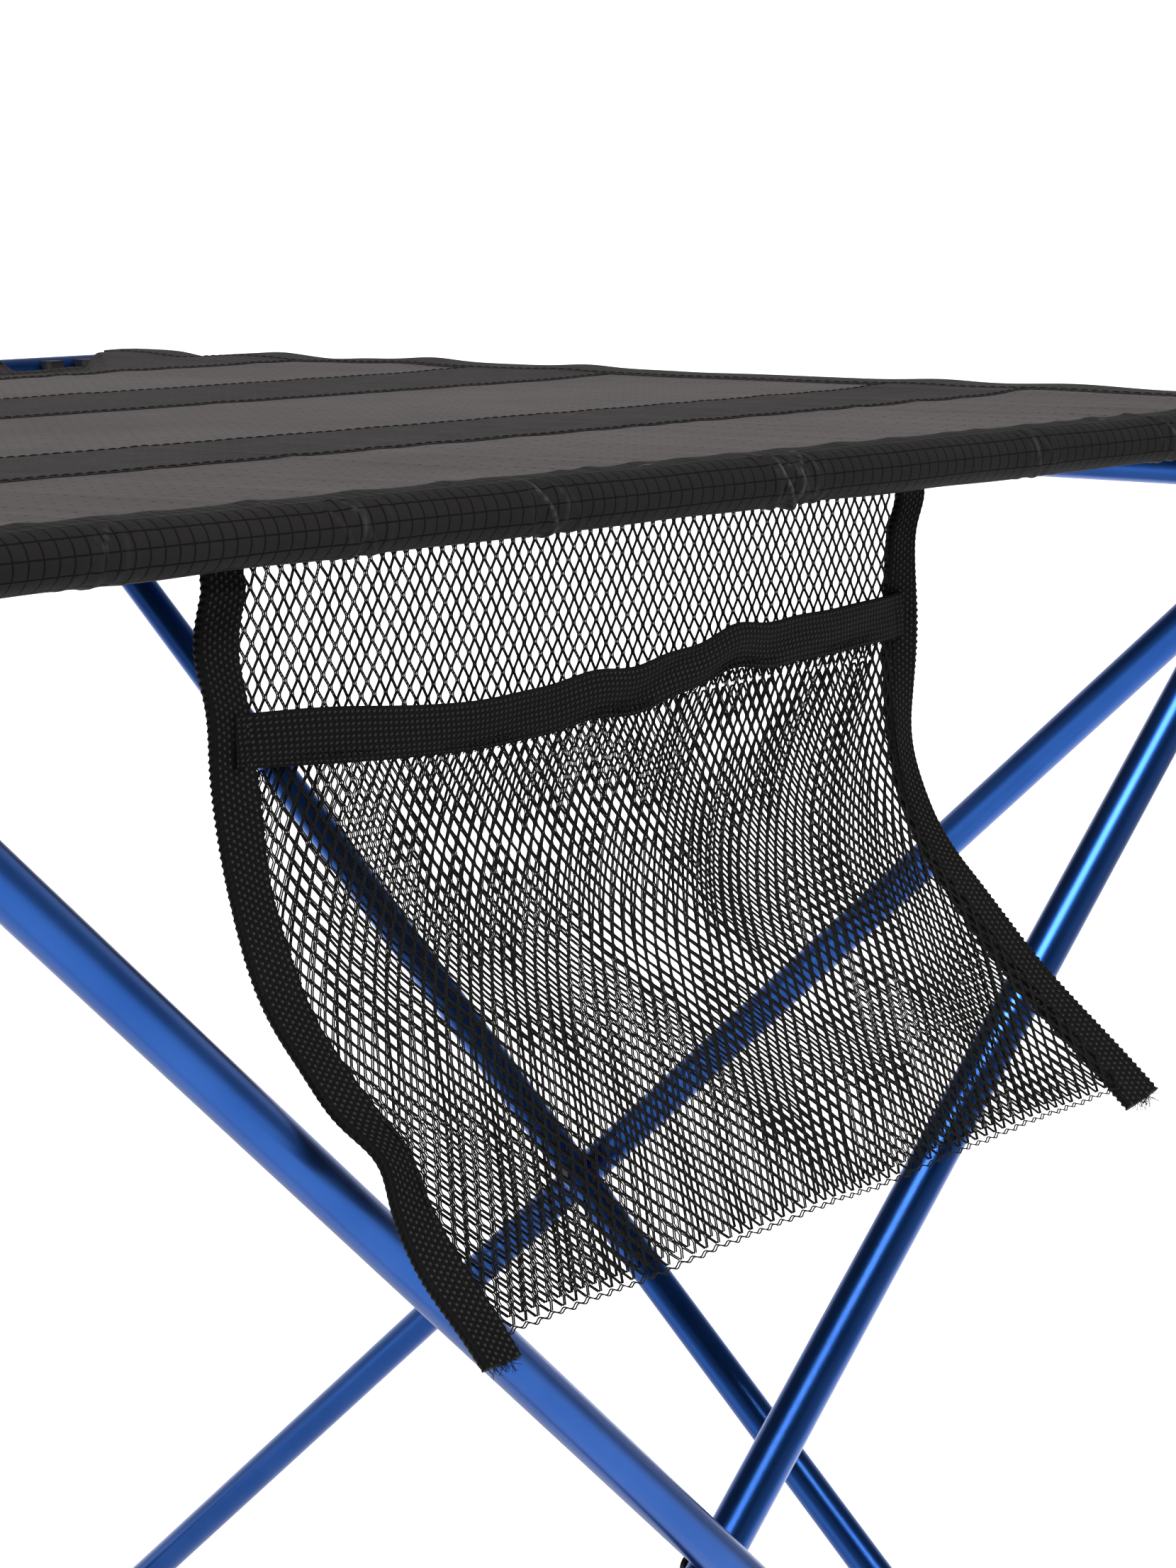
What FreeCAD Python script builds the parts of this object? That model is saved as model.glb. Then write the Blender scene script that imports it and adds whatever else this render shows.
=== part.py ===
import FreeCAD, Part
import math
import os
from FreeCAD import Vector

# Camp kitchen table: a fabric top on two long poles and two spreader bars, standing on a folding
# frame of eight equal tubes in four scissor pairs, with a mesh pocket under the near edge.
# Millimetres. +Z is up, the floor is z = 0, +X runs along the near edge and +Y away from it.
# The origin is the bottom centre of the bounding box; the frame's own centre lies at FRAME_Y.

# ---- driving dimensions ---------------------------------------------------------------------
TUBE_OD = 16.0            # leg and spreader tube
TUBE_WALL = 1.1
HUB_SPAN = 755.0          # between neighbouring corner hubs
LEG_ANGLE = 48.1          # legs from the vertical, table open
PIVOT_INSET = 16.0        # leg pin from the hub centre, along the scissor's plane
PAIR_OFFSET = 8.3         # leg axis from the scissor's middle plane
LEG_END = 7.5             # tube beyond its end pin, without the plug's rim
FOOT_PIVOT_Z = 28.0
PIN_R = 2.5
PIN_FIT = 0.03            # pin in its hub
RUN_FIT = 0.06            # pin in a tube that turns on it

POLE_OD = 14.0            # long pole in each sleeve
POLE_WALL = 1.1
POLE_Y = 357.0            # long pole from the frame's centre
POLE_HALF = 425.0
TOP_HALF_X = 430.0        # fabric top, half its length
BAR_RISE = 25.7           # spreader bar axis above the top pivots
POLE_RISE = 17.2          # long pole axis above the bar axis
SLEEVE_OD = 17.5
SLEEVE_GAP = 0.3          # sleeve cloth to pole
FABRIC = 1.6
HEM_WIDTH = 20.0
NOTCH_HALF = 46.0         # bare stretch of pole where a spreader bar clips on
NOTCH_DEEP = 15.0         # flat cloth cut back from the pole's axis there

SEAM_Y = 353.0                  # flat cloth ends here, sewn to the sleeves
BAND_NEAR = (-223.0, -153.0)    # ripstop bands along the top, from the frame's centre
BAND_FAR = (10.0, 95.0)
BAND_REAR = 215.0               # ripstop again from here to the far sleeve

POCKET_X = (-210.5, 148.0)      # outer edges of the pocket's side bindings
POCKET_Y = 27.0                 # pocket's hanging plane, inside the near scissor's middle plane
POCKET_TOP_DROP = 20.0          # pocket's upper edge below the top's surface
POCKET_STRAIGHT = 52.0          # hanging length before the net curves out
POCKET_BEND_R = 112.0
POCKET_SLOPE = 42.5             # lower part, from the vertical
POCKET_SLOPE_LENGTH = 106.0
NET = 1.2
BINDING = 13.5                  # webbing along each side
BINDING_LOW, BINDING_HIGH = -1.2, 2.4
BINDING_TAIL = 8.0              # raw end hanging past the net
MOUTH_GAP = 15.0                # clear space between the two net layers at the opening
FOLD_GAP = 4.0                  # and just above the bottom fold
OPENING_DROP = 40.0             # pocket opening below the pocket's upper edge
OPENING_HEM = 18.0

# ---- values that follow -----------------------------------------------------------------------
HALF = HUB_SPAN / 2
TILT = math.radians(LEG_ANGLE)
REACH = HALF - PIVOT_INSET
RISE = REACH / math.tan(TILT)             # crossing pin above the foot pins
CROSS_Z = FOOT_PIVOT_Z + RISE
TOP_PIVOT_Z = CROSS_Z + RISE
BAR_Z = TOP_PIVOT_Z + BAR_RISE
POLE_Z = BAR_Z + POLE_RISE
TOP_Z = POLE_Z + SLEEVE_OD / 2
BAR_HALF = HALF + 7.5
HUB_OUT = 22.6                            # hub's outermost face from its centre, pin head included
POCKET_TOP_Z = TOP_Z - POCKET_TOP_DROP
POCKET_BEND = math.radians(POCKET_SLOPE)
POCKET_LENGTH = POCKET_STRAIGHT + POCKET_BEND_R * POCKET_BEND + POCKET_SLOPE_LENGTH
POCKET_FRONT = (HALF - POCKET_Y + POCKET_BEND_R * (1 - math.cos(POCKET_BEND))
                + (POCKET_SLOPE_LENGTH + BINDING_TAIL) * math.sin(POCKET_BEND)
                + BINDING_HIGH * math.cos(POCKET_BEND))
FRAME_Y = (POCKET_FRONT - HALF - HUB_OUT) / 2
CORNERS = ("near_left", "near_right", "far_right", "far_left")
SIDES = ("near", "right", "far", "left")
X_AXIS, Y_AXIS, Z_AXIS = Vector(1, 0, 0), Vector(0, 1, 0), Vector(0, 0, 1)


# ---- helpers ------------------------------------------------------------------------------------
def save(name, *solids):
    """Write one node; several separate pieces share it as a compound."""
    shape = solids[0] if len(solids) == 1 else Part.makeCompound(list(solids))
    placed = shape.copy()
    placed.translate(Vector(0, FRAME_Y, 0))
    placed.exportStep(f"parts/{name}.step")


def around(shape, quarter):
    """The same piece at another side of the square frame."""
    turned = shape.copy()
    turned.rotate(Vector(0, 0, 0), Z_AXIS, 90 * quarter)
    return turned


def rod(start, axis, radius, length):
    return Part.makeCylinder(radius, length, start, axis)


def pipe(start, axis, outer_r, wall, length):
    return rod(start, axis, outer_r, length).cut(rod(start, axis, outer_r - wall, length))


def block(x, y, z):
    """Box from three (low, high) pairs."""
    return Part.makeBox(x[1] - x[0], y[1] - y[0], z[1] - z[0], Vector(x[0], y[0], z[0]))


def parallel_edges(shape, axis, test=None):
    """Straight edges along axis whose middle passes the test."""
    found = []
    for edge in shape.Edges:
        if not isinstance(edge.Curve, Part.Line):
            continue
        if abs(abs(edge.Curve.Direction.dot(axis)) - 1) > 1e-6:
            continue
        if test is None or test(edge.CenterOfMass):
            found.append(edge)
    return found


def riveted_pin(start, axis, length, head_r=4.2, head=1.8):
    """A pin with a domed head behind its start."""
    shaft = rod(start, axis, PIN_R, length)
    cap = rod(start - axis * head, axis, head_r, head)
    rim = [e for e in cap.Edges if abs((e.CenterOfMass - start).dot(axis) + head) < 1e-6]
    return shaft.fuse(cap.makeFillet(head * 0.6, rim)).removeSplitter()


# ---- legs -----------------------------------------------------------------------------------------
def leg_line(inner):
    """Top pin, direction down the leg and pin axis of the near pair's outer or inner leg."""
    side = -1 if inner else 1
    y = -HALF + (PAIR_OFFSET if inner else -PAIR_OFFSET)
    top = Vector(-side * REACH, y, TOP_PIVOT_Z)
    down = Vector(side * math.sin(TILT), 0, -math.cos(TILT))
    return top, down


def leg_and_plugs(inner):
    """A leg tube with its three pin holes, and the plugs that close its ends."""
    top, down = leg_line(inner)
    pin_to_pin = 2 * RISE / math.cos(TILT)
    radius = TUBE_OD / 2
    tube = pipe(top - down * LEG_END, down, radius, TUBE_WALL, pin_to_pin + 2 * LEG_END)
    drills = []
    for along in (0, pin_to_pin / 2, pin_to_pin):
        centre = top + down * along
        drills.append(rod(centre - Y_AXIS * TUBE_OD, Y_AXIS, PIN_R + RUN_FIT, 2 * TUBE_OD))
    tube = tube.cut(drills[0]).cut(drills[1]).cut(drills[2])
    plugs = []
    for along, outward, drill in ((0, down * -1, drills[0]), (pin_to_pin, down, drills[2])):
        mouth = top + down * along + outward * LEG_END
        core = rod(mouth, outward * -1, radius - TUBE_WALL - PIN_FIT, 24.0)
        rim = rod(mouth, outward, radius - 0.2, 1.4)
        plugs.append(core.fuse(rim).cut(drill).removeSplitter())
    return tube, plugs


def crossing_rivet():
    """The rivet that holds the near pair together, set in the outer leg."""
    length = 2 * (PAIR_OFFSET + TUBE_OD / 2)
    start = Vector(0, -HALF - length / 2, CROSS_Z)
    shaft = riveted_pin(start, Y_AXIS, length + RUN_FIT, head_r=5.0, head=2.2)
    tail = rod(start + Y_AXIS * (length + RUN_FIT), Y_AXIS, 4.2, 1.6)
    return shaft.fuse(tail).removeSplitter()


# ---- hubs -----------------------------------------------------------------------------------------
EAR = 4.0                  # cheek beside a slot
SLOT = TUBE_OD + 1.0
WEB = 3.3                  # wall behind and between the slots
EAR_END = 27.0             # cheeks from the hub centre
CAP_R = 18.0
CAP_LOW, CAP_HIGH = 12.0, BAR_RISE - 6.4
SLOT_ROOF = 13.0


def ear_block(along, across):
    """One clevis block, rounded about its pin; its slot is cut later."""
    body = block(along, across, (-14.0, SLOT_ROOF + 2))
    tip = along[1]
    low = parallel_edges(body, Y_AXIS, lambda p: p.x > tip - 1 and p.z < 0)
    body = body.makeFillet(10.0, low)
    high = parallel_edges(body, Y_AXIS, lambda p: p.x > tip - 1 and p.z > 0)
    return body.makeFillet(7.0, high)


def swap_xy(shape):
    """Mirror about the plane x = y."""
    return shape.mirror(Vector(0, 0, 0), Vector(1, -1, 0).normalize())


def hub_local():
    """Corner hub about its centre, legs hanging: outer leg along +X, inner leg along +Y."""
    slot_mid = -PAIR_OFFSET
    outer_y = (slot_mid - SLOT / 2 - EAR, WEB)
    inner_x = (-slot_mid - SLOT / 2 - EAR, -slot_mid + SLOT / 2 + EAR)
    body = ear_block((-1.0, EAR_END), outer_y)
    body = body.fuse(swap_xy(ear_block((0.2, EAR_END), inner_x)))
    body = body.fuse(Part.makeCone(7.0, CAP_R, 16.0, Vector(0, 0, CAP_LOW - 16.0), Z_AXIS))
    cap = rod(Vector(0, 0, CAP_LOW), Z_AXIS, CAP_R, CAP_HIGH - CAP_LOW)
    body = body.fuse(cap)
    body = body.cut(block((WEB, 60), (slot_mid - SLOT / 2, slot_mid + SLOT / 2), (-60, SLOT_ROOF)))
    body = body.cut(block((-slot_mid - SLOT / 2, -slot_mid + SLOT / 2), (WEB, 60), (-60, SLOT_ROOF)))
    for start, axis in pin_places():
        body = body.cut(rod(start - axis * 5, axis, PIN_R + PIN_FIT, 60))
    return body.removeSplitter()


def pin_places():
    """Head end and direction of the two pins of a hub, about its centre."""
    outer = (Vector(PIVOT_INSET, -PAIR_OFFSET - SLOT / 2 - EAR, 0), Y_AXIS)
    inner = (Vector(PAIR_OFFSET - SLOT / 2 - EAR, PIVOT_INSET, 0), X_AXIS)
    return outer, inner


def hub_pins_local():
    (outer_start, outer_axis), (inner_start, inner_axis) = pin_places()
    outer_length = WEB - outer_start.y - 0.1
    return [riveted_pin(outer_start, outer_axis, outer_length),
            riveted_pin(inner_start, inner_axis, SLOT + 2 * EAR)]


def top_corner(shape):
    placed = shape.copy()
    placed.translate(Vector(-HALF, -HALF, TOP_PIVOT_Z))
    return placed


def foot_corner(shape):
    """The foot hub is the top hub turned over, its slots changing sides."""
    flipped = swap_xy(shape.mirror(Vector(0, 0, 0), Z_AXIS))
    flipped.translate(Vector(-HALF, -HALF, FOOT_PIVOT_Z))
    return flipped


STUD_R, STUD_LENGTH = 7.0, 5.0
PAD_R, PAD_TOP_R = 22.0, 19.0
PAD_HEIGHT = FOOT_PIVOT_Z - CAP_HIGH


def foot_pad():
    pad = Part.makeCone(PAD_R, PAD_TOP_R, PAD_HEIGHT, Vector(-HALF, -HALF, 0), Z_AXIS)
    floor_edge = [e for e in pad.Edges if abs(e.CenterOfMass.z) < 1e-6 and e.Length > 10
                  and isinstance(e.Curve, Part.Circle)]
    pad = pad.makeFillet(1.5, floor_edge)
    well = rod(Vector(-HALF, -HALF, PAD_HEIGHT - STUD_LENGTH - 0.3), Z_AXIS, STUD_R + PIN_FIT, 20)
    return pad.cut(well)


def bar_seat(x):
    """The spreader bar's seat, cut across the hub caps of one end."""
    start = Vector(x, -HUB_SPAN, BAR_Z)
    return rod(start, Y_AXIS, TUBE_OD / 2 + 0.3, 2 * HUB_SPAN)


# ---- top frame ------------------------------------------------------------------------------------
def capped_tube(centre, axis, outer_d, wall, half):
    """A straight tube and the domed caps pushed into its ends."""
    radius = outer_d / 2
    tube = pipe(centre - axis * half, axis, radius, wall, 2 * half)
    caps = []
    for way in (-1, 1):
        mouth = centre + axis * (way * half)
        out = axis * way
        head = rod(mouth, out, radius, 3.5)
        rim = [e for e in head.Edges if abs((e.CenterOfMass - mouth).dot(out) - 3.5) < 1e-6]
        plug = rod(mouth, out * -1, radius - wall - PIN_FIT, 16.0)
        caps.append(head.makeFillet(2.0, rim).fuse(plug).removeSplitter())
    return tube, caps


def spreader_clip(x, y):
    """Snap clip between a spreader bar and the long pole lying across it, with two prongs."""
    width, depth = 33.0, 24.0
    low, high = BAR_Z - 3.0, POLE_Z + 5.5
    body = block((x - width / 2, x + width / 2), (y - depth / 2, y + depth / 2), (low, high))
    body = body.makeFillet(3.0, parallel_edges(body, Z_AXIS))
    gap = block((x - 6.5, x + 6.5), (y - depth, y + depth), (POLE_Z - POLE_OD / 2 + 1.5, high + 1))
    body = body.cut(gap)
    body = body.cut(rod(Vector(x, y - depth, BAR_Z), Y_AXIS, TUBE_OD / 2 + 0.05, 2 * depth))
    return body.cut(rod(Vector(x - width, y, POLE_Z), X_AXIS, POLE_OD / 2 + 0.05, 2 * width))


# ---- fabric top -----------------------------------------------------------------------------------
def notches():
    """Stretches along X where the cloth is open round a spreader bar."""
    return [(x - NOTCH_HALF, x + NOTCH_HALF) for x in (-HALF, HALF)]


def sleeve(y, tab=None):
    """The cloth tube round a long pole, open where the spreader bars clip on."""
    wall = SLEEVE_OD / 2 - POLE_OD / 2 - SLEEVE_GAP
    axis_start = Vector(-TOP_HALF_X, y, POLE_Z)
    tube = rod(axis_start, X_AXIS, SLEEVE_OD / 2, 2 * TOP_HALF_X)
    if tab is not None:
        tube = tube.fuse(tab)
    tube = tube.cut(rod(axis_start - X_AXIS, X_AXIS, SLEEVE_OD / 2 - wall, 2 * TOP_HALF_X + 2))
    for span in notches():
        tube = tube.cut(block(span, (y - 20, y + 20), (POLE_Z - 20, TOP_Z + 5)))
    return tube.removeSplitter()


def pocket_tab():
    """Seam allowance under the near sleeve, where the pocket is sewn on."""
    y = -HALF + POCKET_Y
    return block(POCKET_X, (y + BINDING_LOW, y + BINDING_HIGH), (POCKET_TOP_Z, POLE_Z - 2))


def flat_cloth(x, y, low=FABRIC + 0.15, high=0.15):
    """Flat cloth, its edges trimmed to the sleeves."""
    piece = block(x, y, (TOP_Z - low, TOP_Z - high))
    for sleeve_y in (-POLE_Y, POLE_Y):
        reach = TOP_HALF_X + 5
        piece = piece.cut(rod(Vector(-reach, sleeve_y, POLE_Z), X_AXIS, SLEEVE_OD / 2, 2 * reach))
    for way in (-1, 1):
        edge = sorted((way * (POLE_Y - NOTCH_DEEP), way * (POLE_Y + NOTCH_DEEP)))
        for span in notches():
            piece = piece.cut(block(span, edge, (TOP_Z - 10, TOP_Z + 5)))
    return piece


# ---- mesh pocket ----------------------------------------------------------------------------------
def hanging_point(s):
    """Point of the back net s down from its upper edge, and the direction out towards the front."""
    top = Vector(0, -HALF + POCKET_Y, POCKET_TOP_Z)
    if s <= POCKET_STRAIGHT:
        return top - Z_AXIS * s, Vector(0, -1, 0)
    turn = min((s - POCKET_STRAIGHT) / POCKET_BEND_R, POCKET_BEND)
    out = Vector(0, -math.cos(turn), math.sin(turn))
    down = Vector(0, -math.sin(turn), -math.cos(turn))
    centre = top - Vector(0, POCKET_BEND_R, POCKET_STRAIGHT)
    beyond = s - POCKET_STRAIGHT - POCKET_BEND_R * turn
    return centre - out * POCKET_BEND_R + down * beyond, out


def mouth(s):
    """Clear space between the net layers, narrowing from the opening to the bottom fold."""
    hem_end = OPENING_DROP + OPENING_HEM
    fall = max(0.0, s - hem_end) / (POCKET_LENGTH - hem_end)
    return MOUTH_GAP + (FOLD_GAP - MOUTH_GAP) * fall


def hanging_layer(x, s, low, high, steps=16):
    """Cloth of the pocket between two lengths down and two offsets from the back net."""
    back, front = [], []
    for i in range(steps + 1):
        at = s[0] + (s[1] - s[0]) * i / steps
        point, out = hanging_point(at)
        back.append(point + out * low)
        front.append(point + out * (high(at) if callable(high) else high))
    sides = []
    for points in (back, front):
        curve = Part.BSplineCurve()
        curve.interpolate(points)
        sides.append(curve.toShape())
    ends = [Part.makeLine(back[0], front[0]), Part.makeLine(back[-1], front[-1])]
    outline = Part.Wire(Part.__sortEdges__([sides[0], ends[1], sides[1], ends[0]]))
    layer = Part.Face(outline).extrude(Vector(x[1] - x[0], 0, 0))
    layer.translate(Vector(x[0], 0, 0))
    return layer


def pouch(x, s, thick, closed):
    """Front layer of the pocket with its sides turned back to the back net."""
    seam = NET / 2 + 0.1
    outside = hanging_layer(x, s, seam, lambda at: NET / 2 + mouth(at) + thick)
    floor = s[1] - 2.5 if closed else s[1] + 3
    space = (x[0] + NET, x[1] - NET)
    hollow = hanging_layer(space, (s[0] - 3, floor), -NET, lambda at: NET / 2 + mouth(at))
    return outside.cut(hollow)


# ---- build ------------------------------------------------------------------------------------------
os.makedirs("parts", exist_ok=True)

for inner in (False, True):
    tube, plugs = leg_and_plugs(inner)
    place = "inner" if inner else "outer"
    for quarter, side in enumerate(SIDES):
        save(f"leg_{side}_{place}", around(tube, quarter))
        save(f"leg_plugs_{side}_{place}", *[around(p, quarter) for p in plugs])

rivet = crossing_rivet()
for quarter, side in enumerate(SIDES):
    save(f"crossing_rivet_{side}", around(rivet, quarter))

hub = hub_local()
pins = hub_pins_local()
foot_hub = foot_corner(hub)
foot_hub = foot_hub.fuse(rod(Vector(-HALF, -HALF, PAD_HEIGHT), Z_AXIS * -1, STUD_R, STUD_LENGTH))
foot_hub = foot_hub.removeSplitter()
pad = foot_pad()
for quarter, corner in enumerate(CORNERS):
    top_hub = around(top_corner(hub), quarter)
    for x in (-HALF, HALF):
        top_hub = top_hub.cut(bar_seat(x))
    save(f"top_hub_{corner}", top_hub)
    save(f"top_hub_pins_{corner}", *[around(top_corner(p), quarter) for p in pins])
    save(f"foot_hub_{corner}", around(foot_hub, quarter))
    save(f"foot_hub_pins_{corner}", *[around(foot_corner(p), quarter) for p in pins])
    save(f"foot_pad_{corner}", around(pad, quarter))

end_caps = []
for name, y in (("near", -POLE_Y), ("far", POLE_Y)):
    tube, caps = capped_tube(Vector(0, y, POLE_Z), X_AXIS, POLE_OD, POLE_WALL, POLE_HALF)
    save(f"long_pole_{name}", tube)
    end_caps += caps
for name, x in (("left", -HALF), ("right", HALF)):
    tube, caps = capped_tube(Vector(x, 0, BAR_Z), Y_AXIS, TUBE_OD, TUBE_WALL, BAR_HALF)
    save(f"spreader_bar_{name}", tube)
    end_caps += caps
save("tube_end_caps", *end_caps)
save("spreader_clips", *[spreader_clip(x, y) for x in (-HALF, HALF) for y in (-POLE_Y, POLE_Y)])

save("sleeve_near", sleeve(-POLE_Y, pocket_tab()))
save("sleeve_far", sleeve(POLE_Y))
width = (-TOP_HALF_X + HEM_WIDTH, TOP_HALF_X - HEM_WIDTH)
save("panel_near", flat_cloth(width, (-SEAM_Y, BAND_NEAR[0])))
save("band_near", flat_cloth(width, BAND_NEAR))
save("panel_middle", flat_cloth(width, (BAND_NEAR[1], BAND_FAR[0])))
save("band_far", flat_cloth(width, BAND_FAR))
save("panel_far", flat_cloth(width, (BAND_FAR[1], BAND_REAR)))
save("band_rear", flat_cloth(width, (BAND_REAR, SEAM_Y)))
hems = []
for way in (-1, 1):
    hem_x = sorted((way * (TOP_HALF_X - HEM_WIDTH), way * TOP_HALF_X))
    hems.append(flat_cloth(hem_x, (-SEAM_Y, SEAM_Y), 2.6, 0.0))
save("end_hems", *hems)

between = (POCKET_X[0] + BINDING, POCKET_X[1] - BINDING)
opening_end = OPENING_DROP + OPENING_HEM
save("pocket_back_net", hanging_layer(between, (0, POCKET_LENGTH), -NET / 2, NET / 2))
save("pocket_front_net", pouch(between, (opening_end, POCKET_LENGTH), NET, True))
save("pocket_opening_hem", pouch(between, (OPENING_DROP, opening_end), 2.0, False))
bindings = []
for x in ((POCKET_X[0], between[0]), (between[1], POCKET_X[1])):
    span = (0, POCKET_LENGTH + BINDING_TAIL)
    bindings.append(hanging_layer(x, span, BINDING_LOW, BINDING_HIGH))
save("pocket_bindings", *bindings)
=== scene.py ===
import math
import bpy
import numpy as np
from mathutils import Matrix, Vector


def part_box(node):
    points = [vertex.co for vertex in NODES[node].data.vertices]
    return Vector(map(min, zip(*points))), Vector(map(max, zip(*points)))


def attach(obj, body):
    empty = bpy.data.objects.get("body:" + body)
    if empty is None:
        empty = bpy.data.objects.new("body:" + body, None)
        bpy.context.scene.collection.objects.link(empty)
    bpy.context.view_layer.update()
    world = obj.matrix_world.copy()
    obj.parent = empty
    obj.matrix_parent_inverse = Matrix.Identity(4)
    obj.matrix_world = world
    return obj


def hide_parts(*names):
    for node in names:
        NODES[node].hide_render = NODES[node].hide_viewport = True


# Camp kitchen table: tubes, hubs and clips keep their CAD shapes; the cloth top, the net pocket,
# the webbing and all stitching are built here. Metres, in the frame of the CAD.

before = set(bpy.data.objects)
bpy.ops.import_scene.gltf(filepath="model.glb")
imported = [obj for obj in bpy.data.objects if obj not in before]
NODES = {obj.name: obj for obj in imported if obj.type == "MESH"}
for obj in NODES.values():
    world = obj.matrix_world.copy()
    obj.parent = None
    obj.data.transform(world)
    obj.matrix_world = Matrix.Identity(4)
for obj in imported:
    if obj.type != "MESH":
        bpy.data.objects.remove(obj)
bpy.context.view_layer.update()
TOP = "fabric_top_body"
MM = 0.001
RNG = np.random.default_rng(11)


def box(node):
    low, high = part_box(node)
    return np.array(low), np.array(high)


# ---- places read from the frame ---------------------------------------------------------------
pole_lo, pole_hi = box("long_pole_near")
POLE_Z = (pole_hi[2] + pole_lo[2]) / 2
NEAR_Y = (pole_hi[1] + pole_lo[1]) / 2
far_lo, far_hi = box("long_pole_far")
FAR_Y = (far_hi[1] + far_lo[1]) / 2
sleeve_hi = box("sleeve_far")[1]
TOP_Z = sleeve_hi[2]
SLEEVE_R = TOP_Z - POLE_Z
HALF_X = sleeve_hi[0]
BAR_X = float(np.mean([box("spreader_bar_right")[0][0], box("spreader_bar_right")[1][0]]))
CLOTH_Z = box("panel_middle")[1][2]
MID_Y = (NEAR_Y + FAR_Y) / 2
NOTCH = 46 * MM                          # half the stretch beside a bar where the sleeves are open
net_lo, net_hi = box("pocket_back_net")
strap_lo, strap_hi = box("pocket_bindings")
NET_TOP = net_hi[2]
NET_HALF_THICK = 0.6 * MM
NET_Y = net_hi[1] - NET_HALF_THICK
NET_X = (net_lo[0], net_hi[0])
STRAP_X = (strap_lo[0], strap_hi[0])
rivet_lo, rivet_hi = box("crossing_rivet_near")
CROSS = (rivet_lo + rivet_hi) / 2


# ---- camera --------------------------------------------------------------------------------------
# The eye sits about 1.3 m from the near scissor's crossing, a little above the top.
EYE = Vector((-0.9611, CROSS[1] - 0.7384, CROSS[2] + 0.4725))
YAW, PITCH, ROLL = math.radians(39.76), math.radians(9.37), math.radians(0.18)
LENS, SENSOR_HEIGHT = 86.2568, 36.0      # millimetres
forward = Vector((math.cos(YAW) * math.cos(PITCH), math.sin(YAW) * math.cos(PITCH), -math.sin(PITCH)))
right = Vector((math.sin(YAW), -math.cos(YAW), 0))
up = right.cross(forward)
turn = Matrix.Rotation(ROLL, 3, forward)
right, up = turn @ right, turn @ up
camera = bpy.data.objects.new("camera", bpy.data.cameras.new("camera"))
bpy.context.scene.collection.objects.link(camera)
camera.matrix_world = Matrix((
    (right.x, up.x, -forward.x, EYE.x),
    (right.y, up.y, -forward.y, EYE.y),
    (right.z, up.z, -forward.z, EYE.z),
    (0, 0, 0, 1)))
camera.data.sensor_fit = "VERTICAL"
camera.data.sensor_height = SENSOR_HEIGHT
camera.data.lens = LENS
camera.data.clip_start = 0.01
bpy.context.scene.camera = camera


# ---- mesh helpers --------------------------------------------------------------------------------
def make(name, verts, quads, tris=None, *, material, replaces=(), cloth=None, wear_and_highlight=None):
    """A piece from arrays of points and faces, riding on the top's body."""
    mesh = bpy.data.meshes.new(name)
    verts = np.asarray(verts, dtype=np.float32).reshape(-1, 3)
    mesh.vertices.add(len(verts))
    mesh.vertices.foreach_set("co", verts.ravel())
    corners, starts = [], []
    at = 0
    for faces, n in ((quads, 4), (tris, 3)):
        if faces is None:
            continue
        faces = np.asarray(faces, dtype=np.int32).reshape(-1, n)
        corners.append(faces.ravel())
        starts.append(at + n * np.arange(len(faces)))
        at += n * len(faces)
    corners, starts = np.concatenate(corners), np.concatenate(starts)
    mesh.loops.add(len(corners))
    mesh.loops.foreach_set("vertex_index", corners.astype(np.int32))
    mesh.polygons.add(len(starts))
    mesh.polygons.foreach_set("loop_start", starts.astype(np.int32))
    mesh.polygons.foreach_set("use_smooth", np.ones(len(starts), dtype=bool))
    mesh.update(calc_edges=True)
    mesh.validate()
    if cloth is not None:
        layer = mesh.attributes.new("cloth", "FLOAT_VECTOR", "POINT")
        layer.data.foreach_set("vector", np.asarray(cloth, dtype=np.float32).ravel())
    # This attribute carries painted highlights on the top and the webbing, and crease wear with painted
    # highlight on the sleeves.
    if wear_and_highlight is not None:
        layer = mesh.attributes.new("wear_and_highlight", "FLOAT", "POINT")
        layer.data.foreach_set("value", np.asarray(wear_and_highlight, dtype=np.float32).ravel())
    obj = bpy.data.objects.new(name, mesh)
    bpy.context.scene.collection.objects.link(obj)
    mesh.materials.append(material)
    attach(obj, TOP)
    if replaces:
        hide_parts(*replaces)
    return obj


def unit(v):
    return v / np.maximum(np.linalg.norm(v, axis=-1, keepdims=True), 1e-12)


def grid_faces(rows, cols, base=0, flip=False, wrap=False):
    """Quads of a grid of points, row by row."""
    i = np.arange(rows - 1)[:, None]
    j = np.arange(cols if wrap else cols - 1)[None, :]
    k = (j + 1) % cols
    a, b, c, d = i * cols + j, i * cols + k, (i + 1) * cols + k, (i + 1) * cols + j
    faces = np.stack([a, b, c, d], axis=-1).reshape(-1, 4) + base
    return faces[:, ::-1] if flip else faces


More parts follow.
